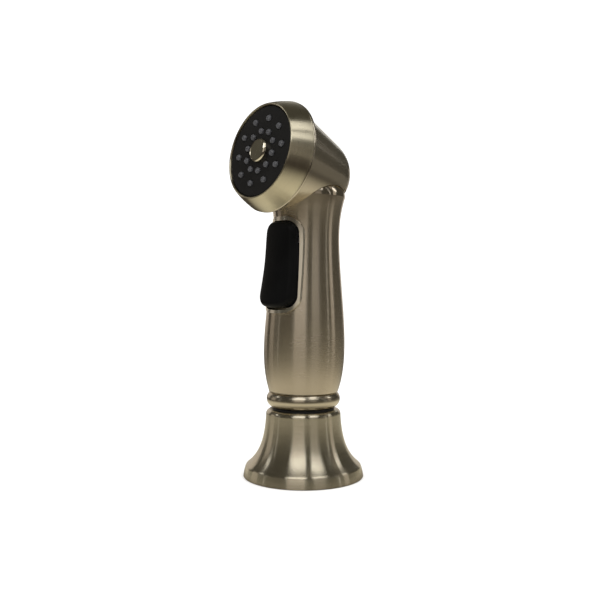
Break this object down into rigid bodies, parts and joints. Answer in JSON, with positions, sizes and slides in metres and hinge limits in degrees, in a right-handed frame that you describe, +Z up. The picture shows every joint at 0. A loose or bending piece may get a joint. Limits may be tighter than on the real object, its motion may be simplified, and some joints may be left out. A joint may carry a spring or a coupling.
{
  "type": "kitchen hand sprayer in deck holder",
  "caption": "Pull-out kitchen hand sprayer with a front trigger and a round spray head, standing in a bell-shaped deck holder.",
  "frame": {"origin": "centre of the holder's threaded shank hole, in the plane of its gasket on the deck", "axes": "+Z up along the holder's axis, -Y towards the user, the way the spray face and the trigger look, +X to the right for someone facing the spray face"},
  "size_m": [0.0536, 0.0558, 0.1649],
  "materials": {
    "base_flange": "satin brushed nickel plate on zinc, brushed round the axis",
    "base_guide": "moulded black acetal",
    "base_gasket": "black nitrile rubber",
    "hose_connector": "turned brass",
    "connector_o_ring": "black nitrile rubber",
    "connector_clip": "stainless steel",
    "inlet_screen": "stainless steel",
    "check_valve_body": "moulded natural acetal",
    "check_poppet": "moulded natural acetal",
    "check_spring": "stainless steel",
    "stem_plug": "moulded black acetal",
    "handle_collar": "bright nickel plate",
    "stem_lock_ring": "turned brass",
    "handle_shell": "fine satin nickel plate",
    "trigger_frame": "bright nickel plate",
    "trigger_pin": "stainless steel",
    "trigger_lever": "moulded black acetal",
    "trigger_pad": "soft-touch rubber over the lever",
    "valve_body": "moulded natural acetal",
    "inlet_o_ring": "black nitrile rubber",
    "valve_stem": "stainless steel",
    "valve_washer": "black nitrile rubber",
    "stem_seal": "black nitrile rubber",
    "stem_gland": "turned brass",
    "valve_plug": "turned brass",
    "valve_spring": "stainless steel",
    "head_hood": "fine satin nickel plate",
    "head_drum": "satin brushed nickel plate on zinc, brushed round the axis",
    "spray_face": "black ABS with a low sheen",
    "nozzle_mat": "smoke grey silicone",
    "diffuser_plate": "moulded natural acetal",
    "head_waterway": "moulded natural acetal",
    "outlet_o_ring": "black nitrile rubber",
    "head_o_ring": "black nitrile rubber",
    "face_screw": "stainless steel",
    "face_button": "bright nickel plate"
  },
  "bodies": {
    "holder": {"base_flange": "base_flange", "base_guide": "base_guide", "base_gasket": "base_gasket"},
    "hose_end": {"hose_connector": "hose_connector", "connector_o_ring": "connector_o_ring", "connector_clip": "connector_clip", "inlet_screen": "inlet_screen", "check_valve_body": "check_valve_body"},
    "check_valve": {"check_poppet": "check_poppet", "check_spring": "check_spring"},
    "spray": {"stem_plug": "stem_plug", "handle_collar": "handle_collar", "stem_lock_ring": "stem_lock_ring", "handle_shell": "handle_shell", "trigger_frame": "trigger_frame", "trigger_pin": "trigger_pin", "valve_body": "valve_body", "inlet_o_ring": "inlet_o_ring", "stem_seal": "stem_seal", "stem_gland": "stem_gland", "valve_plug": "valve_plug", "valve_spring": "valve_spring", "head_hood": "head_hood", "head_drum": "head_drum", "spray_face": "spray_face", "nozzle_mat": "nozzle_mat", "diffuser_plate": "diffuser_plate", "head_waterway": "head_waterway", "outlet_o_ring": "outlet_o_ring", "head_o_ring": "head_o_ring", "face_screw": "face_screw", "face_button": "face_button"},
    "trigger": {"trigger_lever": "trigger_lever", "trigger_pad": "trigger_pad"},
    "valve_stem": {"valve_stem": "valve_stem", "valve_washer": "valve_washer"}
  },
  "joints": [
    {"name": "spray_lift", "type": "slide", "parent": "holder", "child": "hose_end", "axis": [0, 0, 1], "range_m": [0, 0.06]},
    {"name": "spray_swivel", "type": "hinge", "parent": "hose_end", "child": "spray", "pos_m": [0, 0, 0.02], "axis": [0, 0, 1], "continuous": true},
    {"name": "trigger_pull", "type": "hinge", "parent": "spray", "child": "trigger", "pos_m": [0, -0.00734, 0.10823], "axis": [1, 0, 0], "range_deg": [0, 4.8], "stiffness_Nm_per_rad": 1, "springref_deg": -6.88},
    {"name": "valve_travel", "type": "slide", "parent": "spray", "child": "valve_stem", "axis": [0, 0.9996, -0.0279], "range_m": [0, 0.002], "deforming": ["valve_spring"]},
    {"name": "check_travel", "type": "slide", "parent": "hose_end", "child": "check_valve", "axis": [0, 0, 1], "range_m": [0, 0.001], "stiffness_N_per_m": 60, "springref_m": -0.002, "deforming": ["check_spring"]}
  ],
  "couplings": [
    {"joint": "valve_travel", "follows": "trigger_pull", "m_per_rad": 0.0234}
  ]
}
